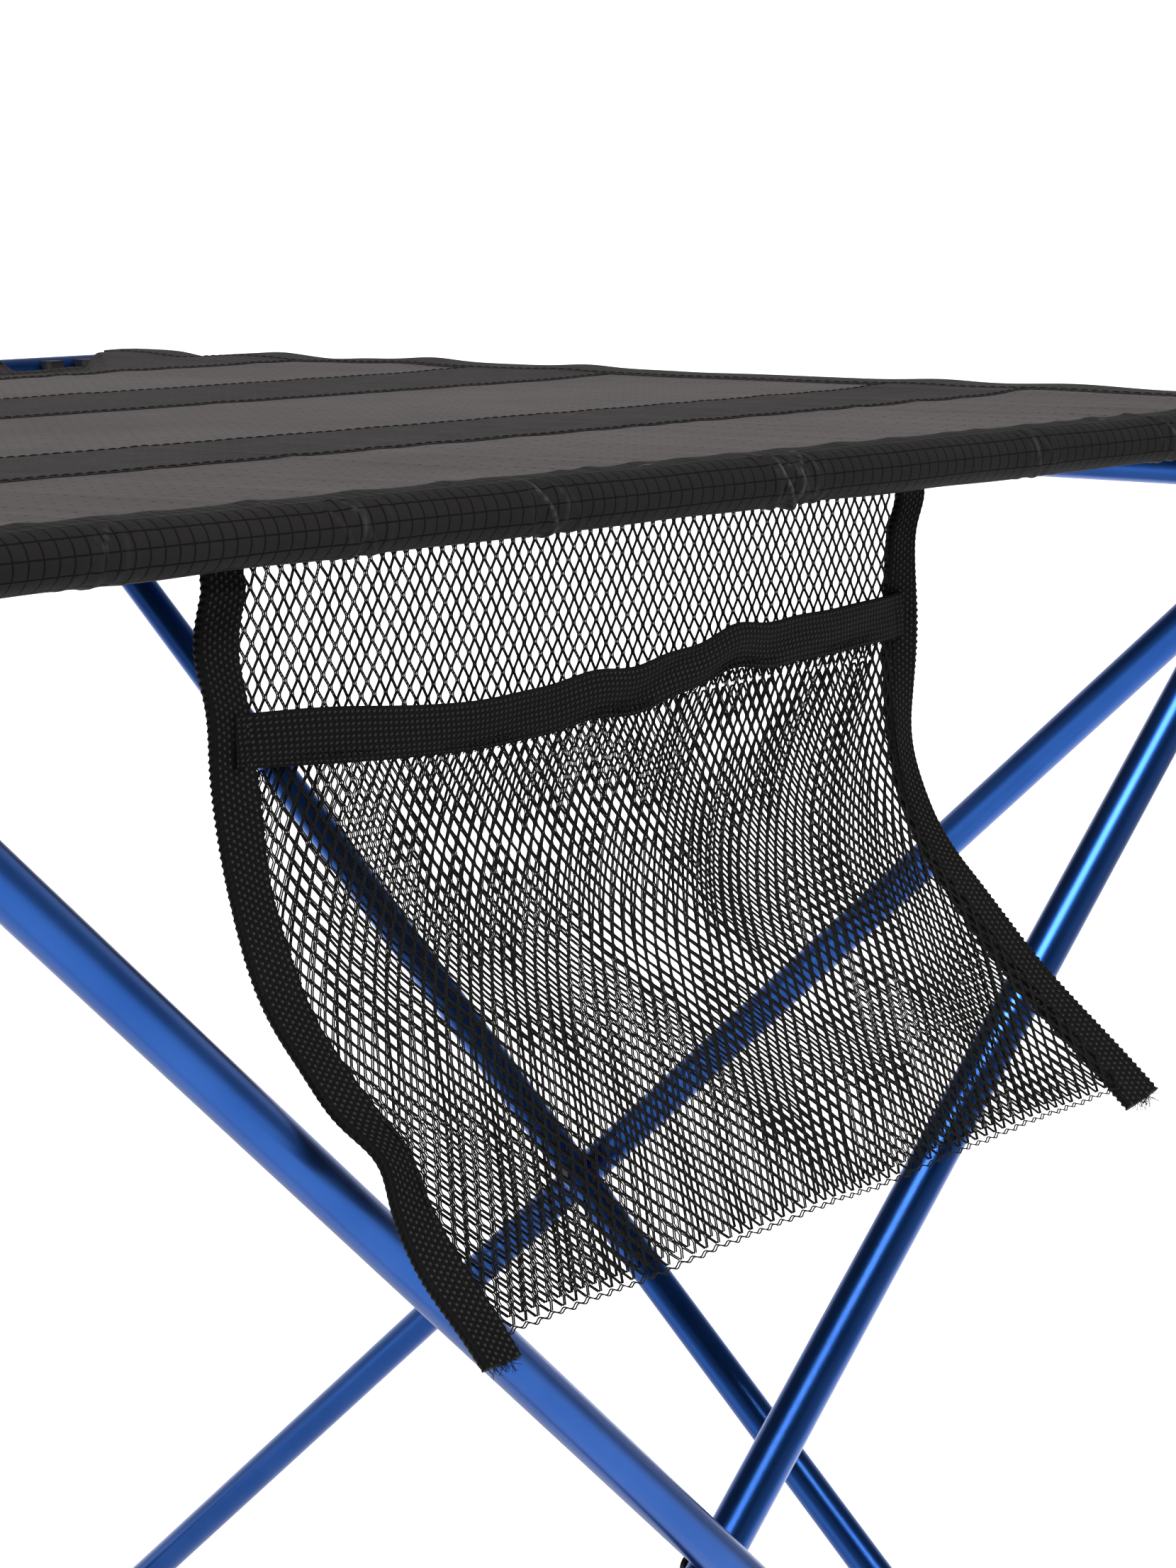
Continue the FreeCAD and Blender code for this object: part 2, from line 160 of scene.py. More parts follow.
def shell(points, normals, thick, uv, wear_and_highlight=None):
    """A sheet with thickness: its face, its back and the rim between them."""
    rows, cols = points.shape[:2]
    verts = np.concatenate([points.reshape(-1, 3), (points - normals * thick).reshape(-1, 3)])
    n = rows * cols
    turned = np.cross(points[0, 1] - points[0, 0], points[1, 0] - points[0, 0]) @ normals[0, 0] < 0
    face = grid_faces(rows, cols)
    back = grid_faces(rows, cols, base=n, flip=True)
    ring = np.concatenate([np.arange(cols), cols * np.arange(1, rows) + cols - 1,
                           n - 2 - np.arange(cols - 1), cols * np.arange(rows - 2, 0, -1)])
    after = np.roll(ring, -1)
    rim = np.stack([after, ring, ring + n, after + n], axis=-1)
    flat = np.concatenate([uv.reshape(-1, 2), uv.reshape(-1, 2)])
    side = np.concatenate([np.zeros(n), np.ones(n)])
    cloth = np.column_stack([flat, side])
    worn_and_highlit = None if wear_and_highlight is None else np.concatenate([wear_and_highlight.ravel(), wear_and_highlight.ravel() * 0])
    quads = np.concatenate([face, back, rim])
    return verts, quads[:, ::-1] if turned else quads, cloth, worn_and_highlit


def surface_normals(points, outward):
    """Normals of a grid of points, on the side that outward points to."""
    a = np.gradient(points, axis=0)
    b = np.gradient(points, axis=1)
    n = unit(np.cross(a, b))
    sign = np.sign((n * outward).sum(axis=-1, keepdims=True))
    return n * np.where(sign == 0, 1, sign)


def threads(lines, normals, radius, sides=3):
    """Round threads along polylines: lines is (count, length, 3)."""
    tangent = unit(np.gradient(lines, axis=1))
    side = unit(np.cross(tangent, normals))
    normal = np.cross(side, tangent)
    turns = 2 * np.pi * np.arange(sides) / sides
    ring = [lines + radius * (math.cos(t) * side + math.sin(t) * normal) for t in turns]
    verts = np.stack(ring, axis=2)
    count, length = lines.shape[:2]
    one = grid_faces(length, sides, wrap=True)
    quads = (one[None] + (np.arange(count) * length * sides)[:, None, None]).reshape(-1, 4)
    base = (np.arange(count) * length * sides)[:, None]
    fan = np.array([[0, k + 1, k] for k in range(1, sides - 1)])
    last = fan[:, ::-1] + (length - 1) * sides
    caps = np.concatenate([fan, last])
    tris = (caps[None] + base[:, :, None]).reshape(-1, 3)
    return verts.reshape(-1, 3), quads, tris


def join(parts):
    """Several (verts, quads, tris) as one."""
    verts, quads, tris, base = [], [], [], 0
    for v, q, t in parts:
        verts.append(v)
        quads.append(np.asarray(q).reshape(-1, 4) + base)
        tris.append(np.asarray(t).reshape(-1, 3) + base)
        base += len(v)
    return np.concatenate(verts), np.concatenate(quads), np.concatenate(tris)


def closed_ends(verts, around, flip_first):
    """Points and fans that close the two ends of a tube of loops, each round a middle point."""
    k = np.arange(around)
    fans = []
    for base, flip in ((0, flip_first), (len(verts) - around, not flip_first)):
        middle = np.full(around, len(verts))
        verts = np.concatenate([verts, verts[base:base + around].mean(axis=0)[None]])
        fan = np.stack([base + k, base + (k + 1) % around, middle], axis=-1)
        fans.append(fan[:, ::-1] if flip else fan)
    return verts, np.concatenate(fans)


# ---- materials -----------------------------------------------------------------------------------
class Paint:
    """A Principled material and short ways to add nodes to it."""

    def __init__(self, name, color, roughness, metallic=0.0, **more):
        self.material = bpy.data.materials.new(name)
        self.material.use_nodes = True
        self.tree = self.material.node_tree
        self.shader = self.tree.nodes["Principled BSDF"]
        self.shader.inputs["Base Color"].default_value = (*color, 1)
        self.shader.inputs["Roughness"].default_value = roughness
        self.shader.inputs["Metallic"].default_value = metallic
        for key, value in more.items():
            self.shader.inputs[key.replace("_", " ").title()].default_value = value
        self.bump = None

    def put(self, socket, value):
        if isinstance(value, (int, float)):
            socket.default_value = value
        elif isinstance(value, tuple):
            socket.default_value = value if len(value) == 4 else (*value, 1)
        else:
            self.tree.links.new(value, socket)

    def math(self, op, a, b=0.0, c=0.0):
        node = self.tree.nodes.new("ShaderNodeMath")
        node.operation = op
        for socket, value in zip(node.inputs, (a, b, c)):
            self.put(socket, value)
        return node.outputs[0]

    def ramp(self, value, low, high, to_low=0.0, to_high=1.0):
        node = self.tree.nodes.new("ShaderNodeMapRange")
        node.interpolation_type = "SMOOTHSTEP"
        for key, v in (("Value", value), ("From Min", low), ("From Max", high),
                       ("To Min", to_low), ("To Max", to_high)):
            self.put(node.inputs[key], v)
        return node.outputs[0]

    def attribute(self, name):
        node = self.tree.nodes.new("ShaderNodeAttribute")
        node.attribute_name = name
        return node

    def cloth_axes(self):
        """Cloth coordinates in millimetres."""
        split = self.tree.nodes.new("ShaderNodeSeparateXYZ")
        self.tree.links.new(self.attribute("cloth").outputs["Vector"], split.inputs[0])
        return [self.math("MULTIPLY", split.outputs[k], 1000.0) for k in range(2)]

    def place(self):
        return self.tree.nodes.new("ShaderNodeTexCoord").outputs["Object"]

    def noise(self, scale, detail=3.0, rough=0.5, vector=None):
        node = self.tree.nodes.new("ShaderNodeTexNoise")
        node.inputs["Scale"].default_value = scale
        node.inputs["Detail"].default_value = detail
        node.inputs["Roughness"].default_value = rough
        self.tree.links.new(vector or self.place(), node.inputs["Vector"])
        return node.outputs[0]

    def stretched(self, scale):
        node = self.tree.nodes.new("ShaderNodeMapping")
        node.inputs["Scale"].default_value = scale
        self.tree.links.new(self.place(), node.inputs["Vector"])
        return node.outputs[0]

    def blend(self, amount, a, b):
        node = self.tree.nodes.new("ShaderNodeMix")
        node.data_type = "RGBA"
        self.put(node.inputs[0], amount)
        self.put(node.inputs[6], a)
        self.put(node.inputs[7], b)
        return node.outputs[2]

    def paint(self, color):
        self.put(self.shader.inputs["Base Color"], color)

    def rough(self, value):
        self.put(self.shader.inputs["Roughness"], value)

    def relief(self, height, depth, strength=1.0):
        """Bump of that depth in metres, added after any earlier one."""
        node = self.tree.nodes.new("ShaderNodeBump")
        node.inputs["Strength"].default_value = strength
        node.inputs["Distance"].default_value = depth
        self.put(node.inputs["Height"], height)
        if self.bump:
            self.tree.links.new(self.bump, node.inputs["Normal"])
        self.bump = node.outputs[0]
        self.tree.links.new(self.bump, self.shader.inputs["Normal"])

    def lines(self, value, pitch, width):
        """1 on lines repeated at the pitch, 0 between them."""
        away = self.math("PINGPONG", value, pitch / 2)
        return self.ramp(away, 0.0, width / 2, 1.0, 0.0)

    def waves(self, value, pitch):
        """0 to 1 and back, smoothly, once in each pitch."""
        wave = self.math("SINE", self.math("MULTIPLY", value, 2 * math.pi / pitch))
        return self.math("MULTIPLY_ADD", wave, 0.5, 0.5)

    def weave(self, u, v, pitch):
        """Squares of crossing threads, 0 to 1."""
        k = 2 * math.pi / pitch
        a = self.math("SINE", self.math("MULTIPLY", u, k))
        b = self.math("SINE", self.math("MULTIPLY", v, k))
        return self.math("MULTIPLY_ADD", self.math("MULTIPLY", a, b), 0.5, 0.5)


def tinted(color, by):
    return tuple(c * by for c in color)


def anodised():
    """Blue anodised aluminium: satin, with faint clouds and scuffs."""
    p = Paint("blue_anodised", (0.016, 0.078, 0.31), 0.3, metallic=1.0, coat_weight=0.12, coat_roughness=0.2)
    cloudy = p.noise(30.0, 3.0)
    p.paint(p.blend(p.ramp(cloudy, 0.3, 0.7), (0.014, 0.072, 0.295), (0.019, 0.084, 0.325)))
    scuff = p.noise(60.0, 3.0, 0.6)
    p.rough(p.math("MULTIPLY_ADD", p.ramp(scuff, 0.3, 0.8), 0.04, 0.29))
    p.relief(p.noise(500.0, 2.0), 0.000004, 0.1)
    return p.material


def plastic():
    """Black moulded plastic with a fine grain."""
    p = Paint("black_moulding", (0.018, 0.018, 0.020), 0.5)
    grain = p.noise(1500.0, 2.0)
    patch = p.noise(60.0, 3.0)
    p.rough(p.math("MULTIPLY_ADD", patch, 0.18, 0.42))
    p.paint(p.blend(p.ramp(patch, 0.3, 0.7), (0.016, 0.016, 0.018), (0.024, 0.024, 0.026)))
    p.relief(grain, 0.00008, 0.6)
    return p.material


def steel(name, dull, bright):
    """Turned steel, brushed along its length."""
    p = Paint(name, bright, 0.3, metallic=1.0)
    brushed = p.noise(900.0, 3.0, 0.6, p.stretched((1.0, 1.0, 0.12)))
    p.rough(p.math("MULTIPLY_ADD", brushed, 0.22, 0.2))
    p.paint(p.blend(brushed, dull, bright))
    p.relief(brushed, 0.00003, 0.5)
    return p.material


def rubber():
    """Matt foot rubber, dusty in patches."""
    p = Paint("foot_rubber", (0.02, 0.02, 0.02), 0.85)
    grain = p.noise(700.0, 4.0, 0.6)
    dust = p.noise(45.0, 4.0, 0.6)
    p.paint(p.blend(p.ramp(dust, 0.45, 0.75), (0.018, 0.018, 0.018), (0.055, 0.052, 0.050)))
    p.relief(grain, 0.00015, 0.7)
    return p.material


def cloth_paint(name, color, roughness, specular):
    """A cloth's material: hardly any gloss at the surface."""
    p = Paint(name, color, roughness)
    p.shader.inputs["Specular IOR Level"].default_value = specular
    return p


def ripstop(name, base, line, light):
    """Coated ripstop: a fine square weave with a sparse grid of thicker threads."""
    p = cloth_paint(name, base, 0.6, specular=0.05)
    u, v = p.cloth_axes()
    grid_pitch, weave_pitch = 5.6, 0.9
    checks = p.weave(u, v, weave_pitch)
    grid = p.math("MAXIMUM", p.lines(u, grid_pitch, 1.0), p.lines(v, grid_pitch, 0.9))
    drift = p.noise(14.0, 3.0)
    tone = p.blend(p.ramp(drift, 0.3, 0.75), base, tinted(base, 1.22))
    tone = p.blend(p.math("MULTIPLY", checks, 0.35), tone, tinted(base, 1.7))
    tone = p.blend(p.math("MULTIPLY", grid, 0.9), tone, line)
    # Pale colour from the mesh's streak attribute: painted highlight along the top's tension folds, and
    # crease wear with painted highlight along the sleeves' folds.
    worn_and_highlit = p.attribute("wear_and_highlight").outputs["Fac"]
    speck = p.ramp(checks, 0.35, 0.8)
    tone = p.blend(p.math("MULTIPLY", worn_and_highlit, p.math("MULTIPLY_ADD", speck, 0.6, 0.4)), tone, light)
    p.paint(tone)
    p.rough(p.math("MULTIPLY_ADD", p.noise(80.0, 3.0), 0.2, 0.58))
    p.relief(checks, 0.00007, 0.8)
    p.relief(grid, 0.0003, 1.0)
    return p.material


def panel_cloth():
    """Pale panel cloth: fine ribs with staggered small eyelets."""
    p = cloth_paint("panel_cloth", (0.13, 0.12, 0.118), 0.7, specular=0.05)
    u, v = p.cloth_axes()
    across, along, ribs_between = 9.3, 7.5, 4
    column = p.math("FLOOR", p.math("DIVIDE", u, across))
    shift = p.math("MULTIPLY", p.math("MODULO", column, 2.0), along / 2)
    shifted = p.math("ADD", v, shift)
    du = p.math("SUBTRACT", p.math("FLOORED_MODULO", u, across), across / 2)
    dv = p.math("SUBTRACT", p.math("FLOORED_MODULO", shifted, along), along / 2)
    du2 = p.math("POWER", p.math("ABSOLUTE", p.math("DIVIDE", du, 0.85)), 2.0)
    dv2 = p.math("POWER", p.math("ABSOLUTE", p.math("DIVIDE", dv, 1.0)), 2.0)
    eyelet = p.ramp(p.math("ADD", du2, dv2), 0.25, 1.0, 1.0, 0.0)
    rib = p.waves(u, across / ribs_between)
    fine = p.weave(u, v, 0.8)
    drift = p.noise(9.0, 3.0)
    tone = p.blend(p.ramp(drift, 0.3, 0.7), (0.088, 0.079, 0.077), (0.112, 0.102, 0.099))
    tone = p.blend(p.math("MULTIPLY", rib, 0.30), tone, (0.135, 0.124, 0.121))
    tone = p.blend(p.math("MULTIPLY", fine, 0.2), tone, (0.07, 0.063, 0.061))
    tone = p.blend(p.math("MULTIPLY", eyelet, 0.85), tone, (0.022, 0.021, 0.021))
    # Painted highlight: paler colour along the crests of the tension folds.
    fold_highlight = p.attribute("wear_and_highlight").outputs["Fac"]
    tone = p.blend(p.math("MULTIPLY", fold_highlight, 0.6), tone, (0.21, 0.195, 0.19))
    p.paint(tone)
    p.rough(p.math("MULTIPLY_ADD", p.noise(60.0, 3.0), 0.16, 0.60))
    p.relief(fine, 0.00005, 0.6)
    p.relief(rib, 0.00012, 0.8)
    p.relief(p.math("SUBTRACT", 1.0, eyelet), 0.0002, 1.0)
    return p.material


def yarn(name, color):
    """Dull yarn with fibres in it."""
    p = cloth_paint(name, color, 0.7, specular=0.1)
    fibre = p.noise(2400.0, 2.0, 0.5)
    p.paint(p.blend(p.ramp(fibre, 0.35, 0.7), tinted(color, 0.7), tinted(color, 1.8)))
    p.relief(fibre, 0.00006, 0.6)
    return p.material


def webbing():
    """Ribbed webbing: the ribs are in the mesh, the yarns in the finish; rib crowns are painted lighter and
    the gaps darker, painted highlight and shade.
    """
    p = cloth_paint("ribbed_webbing", (0.016, 0.016, 0.016), 0.55, specular=0.1)
    yarn_pitch = 0.42
    yarns = p.waves(p.cloth_axes()[1], yarn_pitch)
    lift = p.attribute("wear_and_highlight").outputs["Fac"]
    # Painted highlight on the rib crowns and painted shade between them.
    crown = p.ramp(lift, 0.72, 0.98)
    tone = p.blend(crown, (0.004, 0.004, 0.004), (0.062, 0.058, 0.053))
    tone = p.blend(p.math("MULTIPLY", yarns, 0.35), tone, (0.008, 0.008, 0.008))
    p.paint(tone)
    p.rough(p.math("MULTIPLY_ADD", p.noise(300.0, 2.0), 0.2, 0.5))
    p.relief(yarns, 0.00008, 0.8)
    return p.material


BLUE, BLACK, RUBBER = anodised(), plastic(), rubber()
STEEL = steel("rivet_steel", (0.42, 0.43, 0.45), (0.60, 0.61, 0.63))
DARK_STEEL = steel("rivet_black_oxide", (0.030, 0.031, 0.034), (0.060, 0.062, 0.066))
SLEEVE = ripstop("sleeve_ripstop", (0.0200, 0.0185, 0.0195), (0.005, 0.005, 0.0055), (0.15, 0.145, 0.14))
BAND = ripstop("band_ripstop", (0.036, 0.033, 0.033), (0.017, 0.016, 0.016), (0.16, 0.15, 0.15))
PANEL = panel_cloth()
NET_YARN = yarn("net_yarn", (0.013, 0.013, 0.0125))
THREAD = yarn("sewing_thread", (0.012, 0.012, 0.013))
WEBBING = webbing()



def look_of(name):
    """Finish of a CAD node, from its name. The plastic is the rest: hubs, plugs, caps and clips."""
    if "rivet" in name:
        return DARK_STEEL
    if "pins" in name:
        return STEEL
    if name.startswith("foot_pad"):
        return RUBBER
    if name.startswith(("leg_", "long_pole", "spreader_bar")) and not name.startswith("leg_plugs"):
        return BLUE
    return BLACK


for name, node in NODES.items():
    node.data.materials.clear()
    node.data.materials.append(look_of(name))


# ---- cloth top -----------------------------------------------------------------------------------
def bump(x, centre, width):
    return np.exp(-((x - centre) / width) ** 2)


def eased(k):
    """Smooth step from 0 to 1."""
    return k * k * (3 - 2 * k)


UP = np.array([0, 0, 1.0])
NOTCH_DEEP = 15 * MM                     # cloth's edge from the pole's axis beside a bar
NEAR_DROOP, DROOP_REACH = 3 * MM, 45 * MM
# Loose cloth sinks in a trough that runs slanting inward from each far notch.
FAR_DROOP, TROUGH_REACH, TROUGH_LEAN, TROUGH_SHIFT = 11 * MM, 150 * MM, 0.88, 26 * MM
TROUGH_HALF, TROUGH_EASE = 42 * MM, 14 * MM
RIDGE_HEIGHT, MIDDLE_SAG, EDGE_ZONE, SETTLE = 1.5 * MM, 1.6 * MM, 75 * MM, 30 * MM
# Tension folds: place along the sleeve, strength, width, lean and reach into the top.
RIDGES = []
ridge_x = -0.42
while ridge_x < 0.42:
    RIDGES.append((ridge_x, RNG.uniform(0.4, 1.0), RNG.uniform(4, 11) * MM, RNG.uniform(-0.09, 0.09),
                   RNG.uniform(0.06, 0.16)))
    ridge_x += RNG.uniform(14, 44) * MM
# Waves of the two end hems: place from the middle, height in millimetres, width.
HEM_WAVES = ((0.295, -3.0, 0.018), (0.245, 1.2, 0.016), (0.207, -1.0, 0.016), (0.140, 1.7, 0.020),
             (0.040, 1.3, 0.018), (-0.030, -0.3, 0.02), (-0.165, 1.2, 0.022), (-0.235, 1.4, 0.03))


def notch(x, wide, soft):
    """1 beside a spreader bar, where the sleeves are open, falling to 0 at wide from it."""
    away = np.abs(np.abs(x) - BAR_X)
    return eased(np.clip((wide - away) / soft, 0, 1))


def top_height(x, y):
    """Height of the cloth's upper face: tension folds run from sleeve to sleeve."""
    z = np.full(np.broadcast(x, y).shape, CLOTH_Z)
    near, far = y - NEAR_Y, FAR_Y - y
    for at, size, wide, lean, reach in RIDGES:
        fade = np.exp(-near / reach) + 0.8 * np.exp(-far / reach)
        z = z + RIDGE_HEIGHT * size * bump(x, at + lean * near, wide) * fade
    edge = np.clip((np.abs(x) - (HALF_X - EDGE_ZONE)) / EDGE_ZONE, 0, 1) ** 1.6
    for at, size, wide in HEM_WAVES:
        z = z + size * MM * edge * bump(y - MID_Y, at, wide)
    between = np.clip(near / (near + far), 0, 1)
    z = z - MIDDLE_SAG * np.clip(1 - edge, 0, 1) * np.sin(np.pi * between) ** 0.8
    settle = np.clip(np.minimum(near, far) / SETTLE, 0, 1)
    z = CLOTH_Z + (z - CLOTH_Z) * (0.5 + 0.5 * settle)
    lean = np.abs(x) + TROUGH_LEAN * np.maximum(0, far - NOTCH_DEEP)
    deep = FAR_DROOP * np.clip(1 - far / TROUGH_REACH, 0, 1) ** 1.1
    trough = notch(lean + TROUGH_SHIFT, TROUGH_HALF, TROUGH_EASE)
    z = z - deep * trough * np.clip(far / NOTCH_DEEP - 0.25, 0, 1)
    return z - NEAR_DROOP * np.exp(-(near / DROOP_REACH) ** 2) * notch(x, NOTCH, NOTCH * 0.8)


def top_fold_highlights(x, y):
    """Painted highlight: pale lines along the crests of the tension folds beside the near sleeve."""
    near = y - NEAR_Y
    pale = np.zeros(np.broadcast(x, y).shape)
    for at, size, wide, lean, reach in RIDGES:
        pale = pale + size * bump(x, at + lean * near, wide * 0.22) * np.exp(-near / (1.6 * reach))
    return np.clip(pale, 0, 1)


def top_sheet(name, x, y, material, node, thick, raise_by, step):
    """A flat piece of the top, on the shared wrinkled surface and cut back at the notches."""
    nx = int((x[1] - x[0]) / step)
    ny = int((y[1] - y[0]) / step)
    xs, ys = np.linspace(*x, nx + 1), np.linspace(*y, ny + 1)
    gx, gy = np.meshgrid(xs, ys, indexing="ij")
    cut = notch(gx, NOTCH + 1 * MM, 4 * MM)
    short_near = np.maximum(0, NEAR_Y + NOTCH_DEEP - y[0])
    short_far = np.maximum(0, y[1] - FAR_Y + NOTCH_DEEP)
    part = (gy - y[0]) / (y[1] - y[0])
    gy = gy + cut * (short_near * (1 - part) - short_far * part)
    points = np.stack([gx, gy, top_height(gx, gy) + raise_by], axis=-1)
    normals = surface_normals(points, UP)
    uv = np.stack([gx, gy], axis=-1)
    # Pale streaks painted along the crests of the tension folds: a painted highlight.
    verts, quads, cloth, worn_and_highlit = shell(points, normals, thick, uv, 0.45 * top_fold_highlights(gx, gy))
    obj = make(name, verts, quads, material=material, replaces=(node,), cloth=cloth, wear_and_highlight=worn_and_highlit)


LAP, BAND_RAISE = 3 * MM, 0.55 * MM      # bands lie over the panels' edges
PANEL_THICK, BAND_THICK, HEM_THICK = 0.9 * MM, 0.7 * MM, 2.2 * MM
FINE, COARSE = 2 * MM, 3 * MM            # mesh steps

for node, step in (("panel_near", FINE), ("panel_middle", COARSE), ("panel_far", COARSE)):
    lo, hi = box(node)
    top_sheet(f"cloth_{node}", (lo[0], hi[0]), (lo[1], hi[1]), PANEL, node,
              PANEL_THICK, 0.0, step)

for node, step, far_lap in (("band_near", COARSE, LAP), ("band_far", COARSE, LAP), ("band_rear", FINE, 0.0)):
    lo, hi = box(node)
    top_sheet(f"cloth_{node}", (lo[0], hi[0]), (lo[1] - LAP, hi[1] + far_lap), BAND, node,
              BAND_THICK, BAND_RAISE, step)

hem_lo, hem_hi = box("end_hems")
PANEL_END = box("panel_near")[1][0]


def end_hem(side, way, replaces):
    """The doubled hem along one end of the top, slightly crowned across."""
    inner, outer = way * (PANEL_END - 4 * MM), way * (HALF_X - 0.5 * MM)
    width = abs(outer - inner)
    xs = np.linspace(inner, outer, 15)
    ys = np.linspace(hem_lo[1] + 1 * MM, hem_hi[1] - 1 * MM, 300)
    gx, gy = np.meshgrid(xs, ys, indexing="ij")
    crown = np.sin(np.pi * np.clip((np.abs(gx) - abs(inner)) / width, 0, 1))
    points = np.stack([gx, gy, top_height(gx, gy) + (0.75 + 0.25 * crown) * MM], axis=-1)
    normals = surface_normals(points, UP)
    uv = np.stack([gx, gy], axis=-1)
    verts, quads, cloth, worn_and_highlit = shell(points, normals, HEM_THICK, uv, np.zeros(gx.shape))
    hem = make(f"end_hem_{side}", verts, quads, material=BAND, cloth=cloth, wear_and_highlight=worn_and_highlit,
               replaces=replaces)


end_hem("left", -1, ("end_hems",))
end_hem("right", 1, ())


# ---- sleeves -------------------------------------------------------------------------------------
# A gather is a set of slanting folds where the sleeve's cloth has bunched: place, strength, slant.
GATHERS = ((-0.163, 0.9, 0.35), (-0.077, 1.1, 0.30), (0.047, 1.5, 0.55), (0.056, 1.2, -0.25),
           (0.200, 0.6, 0.3), (-0.262, 0.5, -0.3), (0.292, 0.8, 0.35))
# Pleats of one gather: shift along the pole, and strength.
PLEATS = ((0, 1.0), (0.006, 0.55), (-0.007, 0.45), (0.013, 0.35))


def sleeve_relief(x, turn):
    """Radial height of the sleeve's folds, and pale streaks on their crests, crease wear with a painted
    highlight; turn is 0 on top and a quarter turn outside.
    """
    height, worn_and_highlit = np.zeros(x.shape), np.zeros(x.shape)
    for at, size, slant in GATHERS:
        for k, (shift, part) in enumerate(PLEATS):
            bend = 2.2 * MM * np.sin(1.9 * turn + 2.1 * k + 40 * at)
            line = at + shift + slant * SLEEVE_R * (turn - 1.4) + bend
            height = height + size * part * 0.9 * MM * (bump(x, line, 1.7 * MM)
                                                         - 0.5 * bump(x, line + 3.2 * MM, 1.6 * MM))
            worn_and_highlit = worn_and_highlit + size * part ** 2 * 0.8 * bump(x, line + 0.5 * MM, 0.6 * MM)
    height = height * np.clip(turn / 0.5 + 0.3, 0, 1)
    pucker = np.sin(2 * np.pi * x / 0.0056 + 1.2 * np.sin(x * 61)) * bump(turn, 0.5, 0.9)
    slow = np.sin(x * 47 + 1.3) * np.sin(x * 23) + 0.6 * np.sin(x * 90 + turn * 1.5)
    # The pale streaks are strongest towards the outer side: painted highlight.
    seen = 0.25 + 0.75 * bump(turn, 1.4, 1.1)
    return height + 0.10 * MM * pucker + 0.22 * MM * slow, np.clip(worn_and_highlit, 0, 1) * seen


FLAP, FLAP_STEPS = 10 * MM, 8            # sewn flat to the top, along the seam
SLEEVE_STEP, SLEEVE_THICK = 1.7 * MM, 0.7 * MM
WRAP, WRAP_STEPS = math.radians(318), 76
SLEEVE_INSET = 0.15 * MM                 # folds are measured from a little inside the CAD sleeve


def sleeve(name, node, y, inward):
    """The cloth round a long pole: from the seam on top, over the outer side, under and up inside."""
    stretches = ((-HALF_X, -BAR_X - NOTCH), (-BAR_X + NOTCH, BAR_X - NOTCH), (BAR_X + NOTCH, HALF_X))
    verts, quads, cloths, worn_and_highlit_parts, base = [], [], [], [], 0
    for x0, x1 in stretches:
        nx = int((x1 - x0) / SLEEVE_STEP)
        xs = np.linspace(x0, x1, nx)
        gx, turn = np.meshgrid(xs, np.linspace(0, WRAP, WRAP_STEPS), indexing="ij")
        height, worn_and_highlit = sleeve_relief(gx, turn)
        radius = SLEEVE_R - SLEEVE_INSET + height
        squash = 1 + 0.02 * np.cos(2 * turn)
        gy = y - inward * radius * np.sin(turn)
        gz = POLE_Z + radius * np.cos(turn) * squash
        back = np.linspace(1, 0, FLAP_STEPS, endpoint=False)
        flap_y = gy[:, :1] + inward * FLAP * back[None]
        flat_z = top_height(np.repeat(xs[:, None], FLAP_STEPS, axis=1), flap_y) + 0.6 * MM
        flap_z = gz[:, :1] + (flat_z - gz[:, :1]) * back[None]
        gy = np.concatenate([flap_y, gy], axis=1)
        gz = np.concatenate([flap_z, gz], axis=1)
        gx = np.repeat(xs[:, None], gy.shape[1], axis=1)
        worn_and_highlit = np.concatenate([worn_and_highlit[:, :1] * (1 - back[None]) * 0.8, worn_and_highlit], axis=1)
        points = np.stack([gx, gy, gz], axis=-1)
        away = points - np.array([0, y, POLE_Z]) * np.array([0, 1, 1]) - points * np.array([1, 0, 0])
        normals = surface_normals(points, away)
        around = np.concatenate([[0], np.cumsum(np.hypot(np.diff(gy[0]), np.diff(gz[0])))])
        uv = np.stack([gx, np.repeat(around[None], nx, axis=0)], axis=-1)
        v, q, c, w = shell(points, normals, SLEEVE_THICK, uv, worn_and_highlit)
        verts.append(v)
        quads.append(q + base)
        cloths.append(c)
        worn_and_highlit_parts.append(w)
        base += len(v)
    obj = make(name, np.concatenate(verts), np.concatenate(quads), material=SLEEVE,
               cloth=np.concatenate(cloths), wear_and_highlight=np.concatenate(worn_and_highlit_parts), replaces=(node,))


sleeve("sleeve_near_cloth", "sleeve_near", NEAR_Y, 1)
sleeve("sleeve_far_cloth", "sleeve_far", FAR_Y, -1)


# ---- stitching on the top -----------------------------------------------------------------------
STITCH_PITCH, STITCH_LENGTH, STITCH_R = 5.2 * MM, 3.9 * MM, 0.28 * MM
STITCH_INSET = 1.4 * MM                  # from a band's edge
SEAM_RISE, HEM_RISE = 0.62 * MM, 0.85 * MM


def stitches(xs, ys, along, rise):
    """Short raised threads on the top, each a shallow arc from its start along x or y."""
    def on_top(x, y):
        return np.column_stack([x, y, top_height(x, y) + rise])

    starts = on_top(xs, ys)
    ends = on_top(xs + along[0] * STITCH_LENGTH, ys + along[1] * STITCH_LENGTH)
    t = np.linspace(0, 1, 5)
    lines = starts[:, None] + (ends - starts)[:, None] * t[None, :, None]
    arc = (np.sin(np.pi * t) * 0.22 - 0.10) * MM
    lines = lines + UP * arc[None, :, None]
    return threads(lines, np.broadcast_to(UP, lines.shape), STITCH_R, sides=5)


